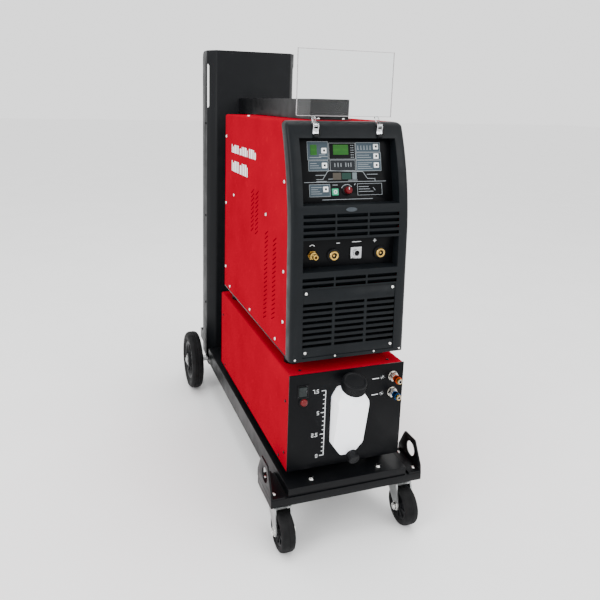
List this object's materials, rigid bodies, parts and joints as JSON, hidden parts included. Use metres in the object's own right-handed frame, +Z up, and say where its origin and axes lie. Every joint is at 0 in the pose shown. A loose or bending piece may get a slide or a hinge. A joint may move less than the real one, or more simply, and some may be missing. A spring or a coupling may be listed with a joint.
{
  "type": "tig welder",
  "caption": "Water-cooled TIG welding set: upright inverter with recessed panel and flip cover, on a cooler with filler tank, on a wheeled trolley with gas bottle column.",
  "frame": {"origin": "floor level, at the middle of the overall width and length", "axes": "+Z up, +Y to the back (the column side), +X to the right seen from the front panels"},
  "size_m": [0.46, 1.065, 1.214],
  "materials": {
    "black_paint": "powder coat, satin",
    "red_paint": "powder coat, semi-gloss",
    "dark_plastic": "fine textured moulding",
    "black_plastic": "satin moulding",
    "grey_plastic": "satin moulding",
    "white_plastic": "glossy key cap",
    "green_plastic": "glossy key cap",
    "knob_red": "glossy moulding",
    "red_lens": "clear coloured lens",
    "tank_plastic": "natural translucent moulding",
    "rubber": "moulded rubber",
    "steel": "zinc plated",
    "chrome": "bright plated",
    "nickel": "nickel plated",
    "brass": "turned",
    "aluminium": "plain",
    "clear_plastic": "clear sheet",
    "collar_red": "red anodised",
    "collar_blue": "blue anodised"
  },
  "bodies": {
    "machine": {"trolley_tray": "black_paint", "front_crossbeam": "black_paint", "lug_left": "black_paint", "lug_right": "black_paint", "bottle_column": "black_paint", "bottle_platform": "black_paint", "cooler_chassis": "black_paint", "cooler_front_panel": "black_paint", "welder_base": "black_paint", "rear_panel": "black_paint", "top_bracket": "black_paint", "connector_plate": "black_paint", "cooler_cover": "red_paint", "welder_cover": "red_paint", "front_bezel": "dark_plastic", "access_grille": "dark_plastic", "control_panel": "dark_plastic", "cable_gland": "black_plastic", "pilot_lamp": "red_lens", "water_tank": "tank_plastic", "rear_axle": "steel", "caster_plate_left": "steel", "caster_plate_right": "steel", "cooler_pump": "steel", "hinge_left": "chrome", "hinge_right": "chrome", "coupling_red": "nickel", "coupling_blue": "nickel", "gas_outlet": "brass", "socket_negative": "brass", "socket_positive": "brass", "control_socket": "aluminium", "radiator": "aluminium", "heatsink": "aluminium"},
    "caster_left": {"caster_fork_left": "steel"},
    "caster_wheel_left": {"caster_wheel_left": "rubber"},
    "rear_wheel_left": {"rear_rim_left": "black_plastic", "rear_tyre_left": "rubber"},
    "caster_right": {"caster_fork_right": "steel"},
    "caster_wheel_right": {"caster_wheel_right": "rubber"},
    "rear_wheel_right": {"rear_rim_right": "black_plastic", "rear_tyre_right": "rubber"},
    "clear_cover": {"clear_cover": "clear_plastic"},
    "key_1": {"key_1": "white_plastic"},
    "key_2": {"key_2": "white_plastic"},
    "key_3": {"key_3": "white_plastic"},
    "key_4": {"key_4": "white_plastic"},
    "key_5": {"key_5": "white_plastic"},
    "key_6": {"key_6": "white_plastic"},
    "key_green": {"key_green": "green_plastic"},
    "control_knob": {"control_knob": "knob_red"},
    "cooler_rocker": {"cooler_rocker": "grey_plastic"},
    "filler_cap": {"filler_cap": "black_plastic"},
    "drain_cap": {"drain_cap": "black_plastic"},
    "collar_red": {"collar_red": "collar_red"},
    "collar_blue": {"collar_blue": "collar_blue"},
    "welder_fan": {"welder_fan": "black_plastic"},
    "cooler_fan": {"cooler_fan": "black_plastic"},
    "mains_switch": {"mains_switch": "black_plastic"}
  },
  "joints": [
    {"name": "caster_swivel_left", "type": "hinge", "parent": "machine", "child": "caster_left", "pos_m": [-0.163, -0.4455, 0.105], "axis": [0, 0, 1], "continuous": true},
    {"name": "caster_roll_left", "type": "hinge", "parent": "caster_left", "child": "caster_wheel_left", "pos_m": [-0.163, -0.4835, 0.049], "axis": [1, 0, 0], "continuous": true},
    {"name": "rear_roll_left", "type": "hinge", "parent": "machine", "child": "rear_wheel_left", "pos_m": [-0.203, 0.4105, 0.103], "axis": [1, 0, 0], "continuous": true},
    {"name": "caster_swivel_right", "type": "hinge", "parent": "machine", "child": "caster_right", "pos_m": [0.163, -0.4455, 0.105], "axis": [0, 0, 1], "continuous": true},
    {"name": "caster_roll_right", "type": "hinge", "parent": "caster_right", "child": "caster_wheel_right", "pos_m": [0.163, -0.4835, 0.049], "axis": [1, 0, 0], "continuous": true},
    {"name": "rear_roll_right", "type": "hinge", "parent": "machine", "child": "rear_wheel_right", "pos_m": [0.203, 0.4105, 0.103], "axis": [1, 0, 0], "continuous": true},
    {"name": "cover_hinge", "type": "hinge", "parent": "machine", "child": "clear_cover", "pos_m": [0, -0.3939, 1.0008], "axis": [1, 0, 0], "range_deg": [0, 171]},
    {"name": "key_1_press", "type": "slide", "parent": "machine", "child": "key_1", "axis": [0, 0.9753, -0.2208], "range_m": [0, 0.0015], "stiffness_N_per_m": 400},
    {"name": "key_2_press", "type": "slide", "parent": "machine", "child": "key_2", "axis": [0, 0.9753, -0.2208], "range_m": [0, 0.0015], "stiffness_N_per_m": 400},
    {"name": "key_3_press", "type": "slide", "parent": "machine", "child": "key_3", "axis": [0, 0.9753, -0.2208], "range_m": [0, 0.0015], "stiffness_N_per_m": 400},
    {"name": "key_4_press", "type": "slide", "parent": "machine", "child": "key_4", "axis": [0, 0.9753, -0.2208], "range_m": [0, 0.0015], "stiffness_N_per_m": 400},
    {"name": "key_5_press", "type": "slide", "parent": "machine", "child": "key_5", "axis": [0, 0.9753, -0.2208], "range_m": [0, 0.0015], "stiffness_N_per_m": 400},
    {"name": "key_6_press", "type": "slide", "parent": "machine", "child": "key_6", "axis": [0, 0.9753, -0.2208], "range_m": [0, 0.0015], "stiffness_N_per_m": 400},
    {"name": "key_green_press", "type": "slide", "parent": "machine", "child": "key_green", "axis": [0, 0.9753, -0.2208], "range_m": [0, 0.0015], "stiffness_N_per_m": 400},
    {"name": "knob_turn", "type": "hinge", "parent": "machine", "child": "control_knob", "pos_m": [0.002, -0.39959, 0.8505], "axis": [0, -0.9753, 0.2208], "continuous": true},
    {"name": "rocker_tilt", "type": "hinge", "parent": "machine", "child": "cooler_rocker", "pos_m": [-0.115, -0.46, 0.388], "axis": [1, 0, 0], "range_deg": [-14, 0]},
    {"name": "filler_cap_lift", "type": "slide", "parent": "machine", "child": "filler_cap", "axis": [0, -0.342, 0.9397], "range_m": [0, 0.03]},
    {"name": "drain_cap_pull", "type": "slide", "parent": "machine", "child": "drain_cap", "axis": [0, -0.9397, -0.342], "range_m": [0, 0.02]},
    {"name": "collar_red_release", "type": "slide", "parent": "machine", "child": "collar_red", "axis": [0, 1, 0], "range_m": [0, 0.004], "stiffness_N_per_m": 1500},
    {"name": "collar_blue_release", "type": "slide", "parent": "machine", "child": "collar_blue", "axis": [0, 1, 0], "range_m": [0, 0.004], "stiffness_N_per_m": 1500},
    {"name": "welder_fan_spin", "type": "hinge", "parent": "machine", "child": "welder_fan", "pos_m": [0, 0.1285, 0.693], "axis": [0, 1, 0], "continuous": true},
    {"name": "cooler_fan_spin", "type": "hinge", "parent": "machine", "child": "cooler_fan", "pos_m": [-0.04, 0.1385, 0.301], "axis": [0, 1, 0], "continuous": true},
    {"name": "mains_switch_turn", "type": "hinge", "parent": "machine", "child": "mains_switch", "pos_m": [-0.07, 0.1658, 0.91], "axis": [0, 1, 0], "range_deg": [0, 90]}
  ]
}
